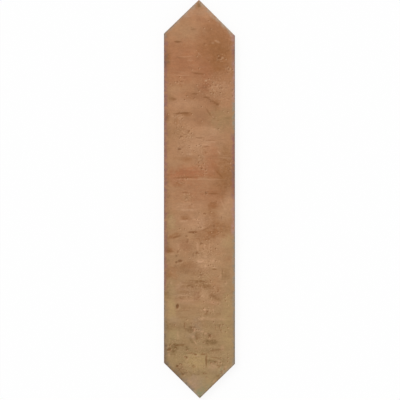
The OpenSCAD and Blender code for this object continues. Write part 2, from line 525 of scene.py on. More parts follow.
DENTS: dict[Press, tuple[Patch, ...]] = {
    Press.PIT: (
        Patch((177.5, 306), (5.0, 2.6), 1.0, turn=84),
        Patch((199, 6.4), (2.0, 1.6), 0.4),
        Patch((204.5, 44.3), (2.2, 1.6), 0.5),
        Patch((219.5, 58), (3.0, 2.0), 0.6, turn=20),
        Patch((208.7, 60.6), (1.8, 1.6), 0.4),
        Patch((229, 69), (2.0, 1.8), 0.7),
        Patch((182, 82), (2.0, 1.6), 0.5),
        Patch((177.5, 82), (1.6, 1.6), 0.5),
        Patch((206, 87.5), (3.0, 2.0), 0.5),
        Patch((211, 86), (1.8, 1.6), 0.5),
        Patch((216, 85), (1.6, 1.4), 0.5),
        Patch((222, 88), (1.8, 1.6), 0.5),
        Patch((213.5, 93), (2.2, 1.6), 0.6, turn=60),
        Patch((174.2, 99.6), (4.5, 2.4), 0.5, turn=10),
        Patch((217.9, 104.5), (3.0, 2.4), 0.6),
        Patch((188.9, 131.5), (2.6, 1.8), 0.7, turn=60),
        Patch((181.3, 136.6), (2.4, 1.8), 0.6),
        Patch((179.7, 149.3), (3.2, 1.8), 0.9),
        Patch((206, 153), (2.0, 1.8), 0.4),
        Patch((201.7, 168.4), (2.2, 1.8), 0.5, turn=90),
        Patch((229, 170), (2.2, 1.6), 0.4),
        Patch((206, 193.4), (2.4, 1.6), 0.7),
        Patch((187, 197.5), (2.2, 2.0), 0.5),
        Patch((204.8, 213.8), (2.2, 1.8), 0.7),
        Patch((214, 226), (2.2, 2.6), 0.5),
        Patch((221.7, 217.6), (4.0, 1.6), 0.4, turn=90),
        Patch((186.4, 236.4), (2.2, 1.6), 0.6),
        Patch((187.5, 241), (4.0, 1.8), 0.5, turn=80),
        Patch((201.7, 243.5), (3.6, 2.0), 0.6, turn=10),
        Patch((197, 253), (3.0, 2.2), 0.8, turn=50),
        Patch((193.6, 254.5), (1.8, 4.4), 0.45, turn=-15),
        Patch((203.4, 249), (1.4, 2.2), 0.4),
        Patch((210.5, 254.6), (3, 1.3), 0.4, turn=-40),
        Patch((209, 239), (1.6, 2.2), 0.4, turn=20),
        Patch((192, 204.5), (1.4, 2), 0.45),
        Patch((216.5, 201.5), (1.6, 1.6), 0.4),
        Patch((178, 251.5), (3.0, 1.8), 0.6, turn=70),
        Patch((176.5, 256), (2.0, 1.8), 0.5),
        Patch((180.2, 261), (4.0, 2.4), 0.9, turn=15),
        Patch((176.5, 262.5), (2.0, 1.8), 0.8),
        Patch((201.3, 275), (2.6, 2.2), 0.6, turn=60),
        Patch((201.5, 278), (2.4, 1.4), 0.4),
        Patch((218.3, 290), (1.8, 3.0), 0.35),
        Patch((188.6, 297), (1.6, 1.6), 0.35),
        Patch((191, 297.6), (1.4, 1.2), 0.4),
        Patch((189.5, 285.5), (2, 2), 0.35),
        Patch((196, 285.5), (1.8, 1.8), 0.4),
        Patch((207.3, 311.5), (1.8, 1.4), 0.5, turn=30),
        Patch((222.5, 271), (1.4, 2.4), 0.35),
        Patch((194.5, 327), (2.6, 1.2), 0.6),
        Patch((193.3, 331), (1.4, 1.2), 0.5),
        Patch((203.5, 281.5), (3.4, 1.6), 0.6),
        Patch((192.7, 287), (2.8, 1.8), 0.7),
        Patch((206, 311), (1.8, 1.6), 0.3),
        Patch((191, 327), (2.4, 1.8), 0.6, turn=40),
        Patch((193.5, 329.5), (2.4, 1.8), 0.5, turn=70),
        Patch((184.6, 325), (1.6, 5.0), 0.5),
        Patch((203.5, 335), (1.6, 3.0), 0.4),
        Patch((215.5, 326.5), (1.4, 4.0), 0.4),
        Patch((219.5, 327.5), (1.4, 4.0), 0.4),
        Patch((222, 372), (2.0, 4.0), 0.6),
        Patch((219.5, 366.5), (3.0, 1.8), 0.6, turn=60),
        Patch((182.5, 282), (2.6, 2.0), 0.3),
        Patch((225.5, 282), (2.2, 2.0), 0.3),
        Patch((221, 330), (2.2, 1.8), 0.5),
        Patch((210, 335.4), (3.2, 2.2), 0.8, turn=-20),
        Patch((197, 338), (2.0, 3.4), 0.5),
        Patch((169, 349.5), (4.0, 2.2), 0.9, turn=20),
        Patch((166, 346), (3.0, 2.4), 0.9),
        Patch((195.3, 354.4), (2.8, 1.6), 0.8),
        Patch((186.4, 357.6), (2.6, 2.0), 0.9),
        Patch((215.4, 361.8), (2.4, 1.8), 0.6),
        Patch((193.5, 366), (4.4, 3.4), 0.4),
        Patch((177.4, 366), (2.4, 1.8), 0.9),
        Patch((181, 364.5), (2.6, 1.6), 0.6),
        Patch((217.9, 365.3), (2.2, 1.6), 0.6),
        Patch((224.6, 368.8), (2.2, 1.6), 0.5, turn=40),
        Patch((205.5, 373.6), (2.6, 1.4), 0.4),
        Patch((206.8, 377.4), (2.2, 1.4), 0.4),
        Patch((183, 374.5), (2.4, 1.8), 0.6),
        Patch((187, 350), (2.6, 1.6), 0.4, turn=-40),
    ),
    Press.GROOVE: (
        Patch((177.8, 41.8), (7.5, 2.0), 0.9),
        Patch((182, 58), (12, 1.2), 0.4, turn=-4),
        Patch((193.5, 29.6), (6, 1.3), 0.5),
        Patch((199, 73.7), (13, 1.8), 0.7, turn=-6),
        Patch((195, 94), (7, 1.5), 0.7),
        Patch((206.5, 97.5), (6, 1.6), 0.7),
        Patch((212, 101), (14, 1.8), 0.6, turn=-32),
        Patch((182, 113.3), (15, 2.0), 0.9, turn=3),
        Patch((208.5, 112.3), (9, 1.8), 0.5, turn=-55),
        Patch((199.7, 137.8), (9, 1.3), 0.5),
        Patch((210.6, 140.5), (11, 1.2), 0.4),
        Patch((206, 146.5), (6, 1.4), 0.5),
        Patch((186, 177.5), (24, 1.8), 0.6, turn=2),
        Patch((220, 175), (9, 2.0), 0.6, turn=-45),
        Patch((185.5, 192.5), (7, 1.2), 0.5, turn=4),
        Patch((214, 193.7), (10, 1.6), 0.7),
        Patch((213, 203), (8, 1.4), 0.3, turn=-12),
        Patch((192.5, 232.2), (9, 1.9), 1.0, turn=2),
        Patch((205, 229.5), (10, 1.8), 0.5, turn=20),
        Patch((176.8, 236.8), (10, 1.8), 0.7, turn=15),
        Patch((169, 251), (9, 1.8), 0.7, turn=-5),
        Patch((214.5, 269.3), (5, 1.4), 0.8),
        Patch((190, 283), (16, 1.4), 0.5),
        Patch((213, 295.7), (9, 2.2), 0.35, turn=-38),
        Patch((184, 310.5), (12, 1.2), 0.4, turn=2),
        Patch((206.5, 312), (6, 1.2), 0.4, turn=45),
        Patch((203, 354.2), (5, 1.6), 0.9),
        Patch((191, 353.2), (8, 1.4), 0.6),
        Patch((206.3, 359.5), (14, 1.6), 0.7, turn=89),
        Patch((216, 350), (14, 1.4), 0.5, turn=8),
        Patch((215, 357.6), (10, 1.4), 0.6, turn=-8),
        Patch((180, 345), (12, 1.4), 0.5, turn=5),
    ),
}

FLECKS: dict[Fleck, tuple[Patch, ...]] = {
    Fleck.GRIT: (
        Patch((216, 88), (22, 18), 0.9),
        Patch((221, 57), (8, 8), 0.8),
        Patch((230, 69), (6, 6), 0.8),
        Patch((180, 82), (8, 8), 0.7),
        Patch((199, 52), (6, 8), 0.6),
        Patch((183, 138), (12, 26), 0.8, turn=10),
        Patch((190, 133), (5, 9), 0.7),
        Patch((180, 116), (10, 8), 0.7),
        Patch((214, 118), (5, 5), 0.8),
        Patch((201, 160), (10, 24), 0.7),
        Patch((230, 165), (8, 12), 0.5),
        Patch((181, 180), (10, 8), 0.8),
        Patch((187, 197), (9, 8), 0.9),
        Patch((206, 194), (5, 5), 0.8),
        Patch((204, 252), (24, 36), 0.7),
        Patch((200, 225), (10, 14), 0.5, turn=-50),
        Patch((202, 278), (12, 12), 0.8),
        Patch((194, 286), (14, 8), 0.7),
        Patch((212, 294), (20, 14), 0.6),
        Patch((188, 297), (16, 8), 0.6),
        Patch((208, 311), (16, 8), 0.7),
        Patch((202, 318), (8, 6), 0.8),
        Patch((196, 329), (20, 16), 0.5),
        Patch((218, 328), (12, 10), 0.6),
        Patch((172, 345), (16, 12), 0.8),
        Patch((210, 340), (16, 12), 0.4),
        Patch((200, 355), (34, 10), 0.7),
        Patch((190, 366), (24, 10), 0.8),
        Patch((221, 364), (12, 14), 0.7),
    ),
    Fleck.STREAK: (
        Patch((186, 62), (40, 32), 0.5),
        Patch((204, 145), (30, 14), 0.6),
        Patch((224, 160), (18, 16), 0.7),
        Patch((188, 176), (44, 12), 0.6),
        Patch((190, 200), (40, 20), 0.5),
        Patch((205, 228), (50, 14), 0.5),
        Patch((195, 284), (50, 14), 0.7),
        Patch((186, 296), (28, 14), 0.6),
        Patch((199, 310), (60, 16), 0.3),
        Patch((205, 352), (50, 14), 0.6),
    ),
}

RIM_BANDS: dict[Rim, tuple[RimBand, ...]] = {
    Rim.BROWN: (
        RimBand(1, (-0.02, 0.42), 6.4, 0.30),
        RimBand(1, (0.06, 0.11), 6.8, 0.60),
        RimBand(1, (0.28, 0.36), 6.6, 0.45),
        RimBand(1, (0.42, 0.82), 6.6, 0.55),
        RimBand(1, (0.82, 1.02), 6.0, 0.30),
        RimBand(4, (0.19, 0.24), 4.6, 0.40),
        RimBand(4, (0.84, 0.98), 5.0, 0.30),
    ),
    Rim.MAROON: (
        RimBand(1, (0.01, 0.54), 4.0, 0.70),
        RimBand(1, (0.53, 0.78), 3.8, 0.65),
        RimBand(4, (0.93, 0.97), 3.8, 0.80),
        RimBand(4, (0.88, 0.94), 3.4, 0.50),
        RimBand(4, (0.50, 0.70), 4.2, 0.80),
    ),
    Rim.KHAKI: (RimBand(1, (0.81, 1.02), 3.8, 0.65),),
    Rim.ROSE: (
        RimBand(4, (0.96, 1.02), 4.4, 0.85),
        RimBand(4, (0.79, 0.93), 3.6, 0.80),
        RimBand(4, (0.39, 0.51), 3.8, 0.85),
        RimBand(5, (-0.02, 0.09), 3.2, 0.50),
    ),
    Rim.GREY: (
        RimBand(1, (-0.02, 0.02), 3.0, 0.50),
        RimBand(4, (0.70, 0.80), 3.4, 0.80),
        RimBand(4, (-0.02, 0.40), 3.0, 0.75),
        RimBand(0, (-0.02, 1.02), 2.6, 0.50),
        RimBand(2, (0.50, 0.95), 3.0, 0.50),
        RimBand(3, (0.06, 0.30), 3.4, 0.35),
    ),
    Rim.DUST: (
        RimBand(0, (-0.02, 0.70), 4.2, 0.30),
        RimBand(0, (0.18, 0.45), 6.0, 0.35),
        RimBand(0, (0.65, 1.02), 3.4, 0.30),
        RimBand(5, (0.04, 1.02), 3.8, 0.70),
        RimBand(5, (0.06, 0.38), 3.2, 0.95),
        RimBand(2, (0.62, 0.95), 2.4, 0.35),
        RimBand(3, (0.60, 1.02), 2.6, 0.40),
    ),
    # The thinnest bands of soot run along the outline as painted shade of the rounded arris; the wider ones
    # darken patches along the arris.
    Rim.SOOT: (
        RimBand(0, (-0.02, 0.12), 1.2, 0.45),
        RimBand(0, (0.10, 0.65), 1.0, 0.40),
        RimBand(0, (0.62, 1.02), 1.4, 0.50),
        RimBand(1, (-0.02, 1.02), 0.9, 0.60),
        RimBand(1, (0.062, 0.088), 4.0, 0.22),
        RimBand(1, (0.086, 0.100), 5.0, 0.50),
        RimBand(1, (0.245, 0.262), 5.0, 0.40),
        RimBand(1, (0.90, 1.02), 2.4, 0.45),
        RimBand(2, (-0.02, 0.55), 1.8, 0.60),
        RimBand(2, (-0.02, 0.45), 4.0, 0.15),
        RimBand(2, (0.50, 0.97), 0.8, 0.35),
        RimBand(2, (0.45, 0.76), 1.8, 0.35),
        RimBand(3, (0.03, 1.02), 0.9, 0.25),
        RimBand(3, (0.30, 0.75), 1.4, 0.35),
    ),
    # The thinnest band of ash runs along the outline as painted shade of the rounded arris; the wider ones
    # grey the arris.
    Rim.ASH: (
        RimBand(4, (-0.02, 1.02), 0.9, 0.60),
        RimBand(4, (-0.02, 0.16), 2.4, 0.35),
        RimBand(4, (0.56, 0.61), 3.6, 0.45),
        RimBand(2, (0.02, 0.80), 5.0, 0.45),
        RimBand(3, (-0.02, 0.06), 1.6, 0.45),
    ),
}


class Weave(Enum):
    """Kinds of relief: cloudy, or cells like the bites of a chisel."""

    CLOUDS = "CLOUDS"
    CELLS = "VORONOI"


class Bench:
    """Selecting, shaping and measuring a mesh, the way a modeller does by hand."""

    @staticmethod
    def take(piece: bpy.types.Object) -> None:
        """Makes a piece the only one selected.

        Args:
            piece: Piece that is worked on next.
        """
        bpy.ops.object.select_all(action="DESELECT")
        piece.select_set(True)
        bpy.context.view_layer.objects.active = piece

    @staticmethod
    def pick_vertex(piece: bpy.types.Object, index: int) -> Vector:
        """Selects one vertex in edit mode.

        Args:
            piece: Piece in edit mode.
            index: The vertex's number.

        Returns:
            Where the vertex is.
        """
        bpy.ops.mesh.select_mode(type="VERT")
        bpy.ops.mesh.select_all(action="DESELECT")
        mesh = bmesh.from_edit_mesh(piece.data)
        mesh.verts.ensure_lookup_table()
        mesh.verts[index].select_set(True)
        place = mesh.verts[index].co.copy()
        bmesh.update_edit_mesh(piece.data)
        return place

    @staticmethod
    def finish(piece: bpy.types.Object, modifier: bpy.types.Modifier) -> None:
        """Applies a modifier to its piece."""
        Bench.take(piece)
        bpy.ops.object.modifier_apply(modifier=modifier.name)

    @staticmethod
    def displace(
        piece: bpy.types.Object,
        name: str,
        weights: np.ndarray,
        size: tuple[float, float],
        weave: Weave = Weave.CLOUDS,
        upright: bool = True,
        still: float = 0.5,
    ) -> None:
        """Raises and lowers the clay by a texture.

        Args:
            piece: Piece that is shaped.
            name: What the relief is called.
            weights: Share of it at each vertex.
            size: Its height and its width.
            weave: Kind of relief.
            upright: Whether the clay moves up and down, not the way that it faces.
            still: Level of the texture at which it stays where it is.
        """
        Bench.weigh(piece, name, weights)
        texture = bpy.data.textures.new(name, weave.value)
        texture.noise_scale = size[1]
        if weave is Weave.CLOUDS:
            texture.noise_depth = 2
        else:
            texture.distance_metric = "DISTANCE_SQUARED"
        move = piece.modifiers.new(name, "DISPLACE")
        move.texture = texture
        move.texture_coords = "LOCAL"
        move.direction = "Z" if upright else "NORMAL"
        move.strength = size[0]
        move.mid_level = still
        move.vertex_group = name
        Bench.finish(piece, move)

    @staticmethod
    def places(piece: bpy.types.Object) -> np.ndarray:
        """Reads where a piece's vertices are, one row each.

        Args:
            piece: The piece.

        Returns:
            Their places.
        """
        flat = np.empty(len(piece.data.vertices) * 3, np.float32)
        piece.data.vertices.foreach_get("co", flat)
        return flat.reshape(-1, 3).astype(float)

    @staticmethod
    def normals(piece: bpy.types.Object) -> np.ndarray:
        """Reads which way a piece's vertices face, one row each.

        Args:
            piece: The piece.

        Returns:
            Their normals.
        """
        flat = np.empty(len(piece.data.vertices) * 3, np.float32)
        piece.data.vertex_normals.foreach_get("vector", flat)
        return flat.reshape(-1, 3).astype(float)

    @staticmethod
    def weigh(piece: bpy.types.Object, name: str, weights: np.ndarray) -> None:
        """Keeps a weight for each vertex in a vertex group, for a modifier to read.

        Args:
            piece: Piece that gets the group.
            name: The group's name.
            weights: One number from 0 to 1 for each vertex.
        """
        group = piece.vertex_groups.new(name=name)
        for index in np.flatnonzero(weights > LEAST_WEIGHT):
            group.add([int(index)], float(weights[index]), "REPLACE")

    @staticmethod
    def paint(piece: bpy.types.Object, name: str, values: np.ndarray) -> None:
        """Keeps a number for each vertex in an attribute, for the finish to read.

        Args:
            piece: Piece that gets the attribute.
            name: The attribute's name.
            values: One number for each vertex.
        """
        layer = piece.data.attributes.new(name, "FLOAT", "POINT")
        layer.data.foreach_set("value", values.astype(np.float32))


@dataclass
class Outline:
    """The six corners of the tile's widest line, anticlockwise from the head."""

    corners: list[Vector]

    @classmethod
    def of_node(cls, node: bpy.types.Object, slack: float = 0.02 * MM) -> "Outline":
        """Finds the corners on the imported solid.

        Args:
            node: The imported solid.
            slack: How far from the widest line a point may lie to count as on it.

        Returns:
            The outline, at the height of the widest line.
        """
        points = Bench.places(node)
        left = points[points[:, 0] < points[:, 0].min() + slack]
        right = points[points[:, 0] > points[:, 0].max() - slack]
        rows = (
            points[points[:, 1].argmax()],
            left[left[:, 1].argmax()],
            left[left[:, 1].argmin()],
            points[points[:, 1].argmin()],
            right[right[:, 1].argmin()],
            right[right[:, 1].argmax()],
        )
        return cls([Vector(row) for row in rows])

    def side(self, start: int) -> tuple[np.ndarray, np.ndarray]:
        """Gives the two ends of the side that starts at a corner, in plan."""
        ends = self.corners[start], self.corners[(start + 1) % len(self.corners)]
        return tuple(np.array(end.xy) for end in ends)

    def inset(self, start: int, places: np.ndarray) -> tuple[np.ndarray, np.ndarray]:
        """Measures points against one side.

        Args:
            start: Corner where the side starts.
            places: Points, one row each.

        Returns:
            How far each point lies in from the side, and at what share of its length.
        """
        first, last = self.side(start)
        run = last - first
        length = float(np.hypot(*run))
        away = places[:, :2] - first
        inward = (run[0] * away[:, 1] - run[1] * away[:, 0]) / length
        return inward, away @ run / length**2

    def rim_distance(self, places: np.ndarray) -> np.ndarray:
        """Measures how far points lie in from the nearest side."""
        sides = (self.inset(start, places)[0] for start in range(len(self.corners)))
        return np.min(np.stack(list(sides)), axis=0)


@dataclass
class ClayBlank:
    """A fine-grained blank of the tile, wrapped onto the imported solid.

    Args:
        node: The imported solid.
        outline: Its widest line.
        grain: Edge of the blank's small faces.
        undercut: How far the back lies inside the outline.
        arris: Width of the worn arris.
        spare: How far the points stand out before the wrap draws them in.
        level: How upright a normal is on the face.
        face_rounds: How often the face is evened after the wrap.
        arris_rounds: How often the arris is evened before it is drawn to the solid again.
        back_dip: Height and width of the uneven spots in the back.
        back_margin: Width over which they fade towards its edge.
        most_triangles: How many triangles are left when the back is thinned.
    """

    node: bpy.types.Object
    outline: Outline
    grain: float = 0.65 * MM
    undercut: float = 2.2 * MM
    arris: float = 1.5 * MM
    spare: float = 0.8 * MM
    level: float = 0.9
    face_rounds: int = 2
    arris_rounds: int = 12
    back_dip: tuple[float, float] = (0.5 * MM, 16 * MM)
    back_margin: float = 6 * MM
    most_triangles: int = 192_000

    def build(self) -> bpy.types.Object:
        """Models the blank and wraps it.

        Returns:
            The blank, with fewer and larger faces on its back.
        """
        blank = self.rough_out()
        remesh = blank.modifiers.new("clay_grain", "REMESH")
        remesh.mode = "VOXEL"
        remesh.voxel_size = self.grain
        Bench.finish(blank, remesh)
        self.wrap(blank)
        self.finish_back(blank)
        return blank

    def rough_out(self) -> bpy.types.Object:
        """Shapes a six-cornered slab with an undercut side and a bevelled arris.

        Returns:
            The slab.
        """
        height = self.outline.corners[0].z
        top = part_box(NODE)[1].z
        bpy.ops.object.select_all(action="DESELECT")
        bpy.ops.mesh.primitive_circle_add(
            vertices=len(self.outline.corners),
            radius=self.outline.corners[0].y,
            fill_type="NGON",
            location=(0, 0, height),
        )
        blank = bpy.context.object
        blank.name = "fired_tile"
        blank.data.name = "fired_tile"
        bpy.ops.object.transform_apply(location=True, rotation=True, scale=True)
        bpy.ops.object.mode_set(mode="EDIT")
        for index, corner in enumerate(self.outline.corners):
            here = Bench.pick_vertex(blank, index)
            spare = math.copysign(self.spare, corner.y)
            bpy.ops.transform.translate(value=(corner.x - here.x, corner.y + spare - here.y, 0))
        bpy.ops.mesh.select_mode(type="FACE")
        bpy.ops.mesh.select_all(action="SELECT")
        bpy.ops.mesh.inset(thickness=self.undercut, depth=-height, use_even_offset=True)
        bpy.ops.mesh.select_mode(type="EDGE")
        bpy.ops.mesh.select_all(action="DESELECT")
        bpy.ops.mesh.select_non_manifold()
        rise = (top - height) / 2
        bpy.ops.mesh.extrude_region_move(TRANSFORM_OT_translate={"value": (0, 0, rise)})
        bpy.ops.mesh.edge_face_add()
        bpy.ops.mesh.select_mode(type="FACE")
        bpy.ops.mesh.inset(thickness=self.arris, depth=rise, use_even_offset=True)
        bpy.ops.mesh.select_all(action="SELECT")
        bpy.ops.mesh.normals_make_consistent(inside=False)
        bpy.ops.object.mode_set(mode="OBJECT")
        return blank

    def wrap(self, blank: bpy.types.Object) -> None:
        """Lays the blank's face, then its sides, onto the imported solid, and evens the arris.

        Args:
            blank: The blank.
        """
        upright = Bench.normals(blank)[:, 2] > self.level
        Bench.weigh(blank, "flat_face", upright.astype(float))
        Bench.weigh(blank, "cut_sides", (~upright).astype(float))
        drop = blank.modifiers.new("lay_face", "SHRINKWRAP")
        drop.target = self.node
        drop.vertex_group = "flat_face"
        drop.wrap_method = "PROJECT"
        drop.use_project_z = True
        drop.use_negative_direction = True
        drop.use_positive_direction = True
        Bench.finish(blank, drop)
        self.hug(blank, "cut_sides")
        self.settle(blank, "flat_face", self.face_rounds)
        places = Bench.places(blank)
        near = self.outline.rim_distance(places) < 2 * self.arris
        high = places[:, 2] > self.outline.corners[0].z + self.grain / 4
        Bench.weigh(blank, "arris_rows", (near & high).astype(float))
        self.settle(blank, "arris_rows", self.arris_rounds)
        self.hug(blank, "arris_rows")
        self.settle(blank, "arris_rows", self.face_rounds)
        blank.vertex_groups.clear()

    def hug(self, blank: bpy.types.Object, group: str) -> None:
        """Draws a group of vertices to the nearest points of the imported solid.

        Args:
            blank: The blank.
            group: The group's name.
        """
        hug = blank.modifiers.new("hug", "SHRINKWRAP")
        hug.target = self.node
        hug.vertex_group = group
        hug.wrap_method = "NEAREST_SURFACEPOINT"
        Bench.finish(blank, hug)

    def settle(self, blank: bpy.types.Object, group: str, rounds: int) -> None:
        """Evens a group of vertices out between their neighbours.

        Args:
            blank: The blank.
            group: The group's name.
            rounds: How often they are evened.
        """
        settle = blank.modifiers.new("settle", "SMOOTH")
        settle.vertex_group = group
        settle.factor = 0.5
        settle.iterations = rounds
        Bench.finish(blank, settle)

    def finish_back(self, blank: bpy.types.Object) -> None:
        """Makes the back slightly uneven, then thins its faces, which need less detail.

        Args:
            blank: The blank.
        """
        down = Bench.normals(blank)[:, 2] < -self.level
        rim = self.outline.rim_distance(Bench.places(blank))
        inner = climb(rim, self.undercut, self.undercut + self.back_margin)
        Bench.displace(blank, "uneven_back", down * inner, self.back_dip, still=0.1)
        Bench.weigh(blank, "back", down.astype(float))
        blank.data.calc_loop_triangles()
        thin = blank.modifiers.new("thin_back", "DECIMATE")
        thin.ratio = min(1.0, self.most_triangles / len(blank.data.loop_triangles))
        thin.vertex_group = "back"
        Bench.finish(blank, thin)
        blank.vertex_groups.clear()


@dataclass
class Relief:
    """Everything that is pressed, dragged and torn into the clay.

    Args:
        piece: The wrapped blank.
        outline: Its widest line.
        grid: Where the photograph's pixels lie.
        pit_depth: Depth of the deepest pit.
        groove_depth: Depth of the deepest drag mark.
        wave: Height and width of the slow waves in the face.
        drag: Height and width of the fine ripple that dragging leaves.
        bite: Height and width of the chisel's bites in the cut sides.
        tear: Height and width of the torn clay between them.
        stray_layers: Strengths and widths of the noise by which the marks' edges stray.
        wide_patch: Half width from which a patch fades twice as softly as a narrow one.
        search: How many half lengths from a patch's middle its effect may reach.
        pressed: How pits and drag marks end.
        lip_highlighted: How a pit's painted highlight ends.
        stained: How stains end.
        flecked: How gritty and streaky places end.
        lip_highlight_offset: Pixels from a pit to the highlight painted beside it, away from the lamp.
        face_tilt: How upright a normal is where the face starts, and where it is full.
        band_end: Share of a side over which an arris colour ends.
        band_ripple: Most that its width strays, as a share.
        band_edge: Shares of an arris colour's width between which it fades inwards.
        band_foot: Heights against the widest line between which it fades downwards.
        band_stray: Most that those heights stray.
        calm_rim: Width in from the outline over which the face's waves fade.
        side_fade: Heights below the widest line and above the back over which the torn sides fade.
        side_still: Level of the sides' textures at which they stay where they are.
        crease: Degrees from which an edge is shaded as sharp.
    """

    piece: bpy.types.Object
    outline: Outline
    grid: PhotoGrid
    pit_depth: float = 0.8 * MM
    groove_depth: float = 0.25 * MM
    wave: tuple[float, float] = (0.25 * MM, 42 * MM)
    drag: tuple[float, float] = (0.10 * MM, 5 * MM)
    bite: tuple[float, float] = (0.8 * MM, 7 * MM)
    tear: tuple[float, float] = (0.5 * MM, 1.8 * MM)
    stray_layers: tuple[tuple[float, float], ...] = ((0.75, 5 * MM), (0.55, 1.7 * MM))
    wide_patch: float = 8 * MM
    search: float = 2.5
    pressed: Edge = Edge(softness=0.7, fray=0.4)
    lip_highlighted: Edge = Edge(softness=0.7, fray=0.5)
    stained: Edge = Edge(softness=0.9, fray=0.55)
    flecked: Edge = Edge(softness=1.6, fray=1.0)
    lip_highlight_offset: Pixel = (1.0, 0.9)
    face_tilt: tuple[float, float] = (0.5, 0.9)
    band_end: float = 0.03
    band_ripple: float = 0.5
    band_edge: tuple[float, float] = (0.2, 1.2)
    band_foot: tuple[float, float] = (-0.64 * MM, 0.16 * MM)
    band_stray: float = 0.48 * MM
    calm_rim: float = 4 * MM
    side_fade: tuple[float, float] = (2 * MM, 0.6 * MM)
    side_still: float = 0.8
    crease: float = 40.0
    stray: np.ndarray = field(init=False)
    places: np.ndarray = field(init=False)

    def __post_init__(self) -> None:
        """Reads the blank and works out how far the marks' edges stray."""
        self.places = Bench.places(self.piece)
        self.stray = sum(share * self.ragged(width) for share, width in self.stray_layers)

    def ragged(self, width: float) -> np.ndarray:
        """Gives every vertex two smooth random numbers from -1 to 1.

        Args:
            width: How far apart they change.

        Returns:
            Two numbers a row.
        """
        spots = [Vector(place) / width for place in self.places]
        return np.array([(noise.noise(spot), noise.noise(spot + NOISE_SHIFT)) for spot in spots])

    def mask(self, patches: Iterable[Patch], edge: Edge) -> np.ndarray:
        """Spreads patches over the face. A wide one fades more softly than a narrow one.

        Args:
            patches: The patches.
            edge: How they end.

        Returns:
            Each vertex's share of the effect.
        """
        total = np.zeros(len(self.places))
        for patch in patches:
            half = np.array(patch.size) * MM / 2
            away = self.places[:, :2] - self.grid.place(patch.at)
            near = np.flatnonzero(np.hypot(*away.T) < self.search * half.max())
            away = away[near] + self.stray[near] * half.min() * edge.fray
            reach = self.reach(patch, away, half)
            wide = 1 + min(half.min() / self.wide_patch, 1)
            soft = edge.softness * (CRISP_EDGE if patch.crisp else wide)
            share = patch.strength * (1 - climb(reach, 1 - soft / 2, 1 + soft / 2))
            total[near] = 1 - (1 - total[near]) * (1 - share)
        return total

    @staticmethod
    def reach(patch: Patch, away: np.ndarray, half: np.ndarray) -> np.ndarray:
        """Measures how far places lie from a patch's middle, where 1 is its edge.

        Args:
            patch: The patch.
            away: Steps from its middle, one row each.
            half: Its half length and half width.

        Returns:
            One distance for each place.
        """
        turn = math.radians(patch.turn)
        along = away[:, 0] * math.cos(turn) + away[:, 1] * math.sin(turn)
        across = away[:, 1] * math.cos(turn) - away[:, 0] * math.sin(turn)
        power = CRISP_POWER if patch.crisp else ROUND_POWER
        return (np.abs(along / half[0]) ** power + np.abs(across / half[1]) ** power) ** (1 / power)

    def build(self) -> None:
        """Shapes the clay, then notes for the finish where each mark lies."""
        face = climb(Bench.normals(self.piece)[:, 2], *self.face_tilt)
        marks: dict[str, np.ndarray] = {"face": face}
        for table, edge in ((DENTS, self.pressed), (STAINS, self.stained), (FLECKS, self.flecked)):
            for kind, patches in table.items():
                marks[kind.value] = face * self.mask(patches, edge)
        # Beside each pit, away from the lamp, a pale spot is a painted highlight on its far edge.
        right, down = self.lip_highlight_offset
        lip_highlights = [replace(pit, at=(pit.at[0] + right, pit.at[1] + down)) for pit in DENTS[Press.PIT]]
        marks["lip_highlight"] = face * self.mask(lip_highlights, self.lip_highlighted) * (1 - marks[Press.PIT.value])
        for rim, bands in RIM_BANDS.items():
            marks[rim.value] = self.rim_mask(bands)
        self.shape(marks, face)
        self.note(marks)

    def rim_mask(self, bands: Iterable[RimBand]) -> np.ndarray:
        """Spreads an arris colour along its stretches.

        Args:
            bands: The stretches of arris.

        Returns:
            Each vertex's share of the colour.
        """
        total = np.zeros(len(self.places))
        half = self.band_end / 2
        for band in bands:
            inward, share = self.outline.inset(band.start, self.places)
            width = band.width * MM * (1 + self.band_ripple * self.stray[:, 0])
            across = 1 - climb(np.maximum(inward, 0) / width, *self.band_edge)
            starts, stops = (climb(share, end - half, end + half) for end in band.stretch)
            total = np.maximum(total, band.strength * across * starts * (1 - stops))
        above = self.places[:, 2] - self.outline.corners[0].z
        return total * climb(above + self.band_stray * self.stray[:, 1], *self.band_foot)

    def shape(self, marks: dict[str, np.ndarray], face: np.ndarray) -> None:
        """Moves the clay with one modifier for each kind of mark.

        Args:
            marks: Shares of each mark.
            face: Share of the face at each vertex.
        """
        height = self.places[:, 2]
        below = self.outline.corners[0].z - height
        inner = face * climb(self.outline.rim_distance(self.places), 0, self.calm_rim)
        sides = (1 - face) * climb(below, 0, self.side_fade[0]) * climb(height, 0, self.side_fade[1])
        Bench.displace(self.piece, "slow_waves", inner, self.wave)
        Bench.displace(self.piece, "drag_ripple", inner, self.drag)
        self.press(Press.PIT, marks, self.pit_depth)
        self.press(Press.GROOVE, marks, self.groove_depth)
        cuts = (("chisel_bites", self.bite, Weave.CELLS), ("torn_clay", self.tear, Weave.CLOUDS))
        for name, size, weave in cuts:
            Bench.displace(self.piece, name, sides, size, weave, upright=False, still=self.side_still)

    def press(self, press: Press, marks: dict[str, np.ndarray], depth: float) -> None:
        """Presses one kind of mark straight down into the face.

        Args:
            press: Kind of mark.
            marks: Shares of each mark.
            depth: How deep a full mark is.
        """
        Bench.weigh(self.piece, press.value, marks[press.value])
        move = self.piece.modifiers.new(press.value, "DISPLACE")
        move.direction = "Z"
        move.strength = -depth
        move.mid_level = 0.0
        move.vertex_group = press.value
        Bench.finish(self.piece, move)

    def note(self, marks: dict[str, np.ndarray]) -> None:
        """Writes each mark's share to the mesh for the finish, and shades the piece smooth.

        Args:
            marks: Shares of each mark.
        """
        self.piece.vertex_groups.clear()
        for name, values in marks.items():
            Bench.paint(self.piece, name, values)
        Bench.take(self.piece)
        bpy.ops.object.shade_smooth_by_angle(angle=math.radians(self.crease))


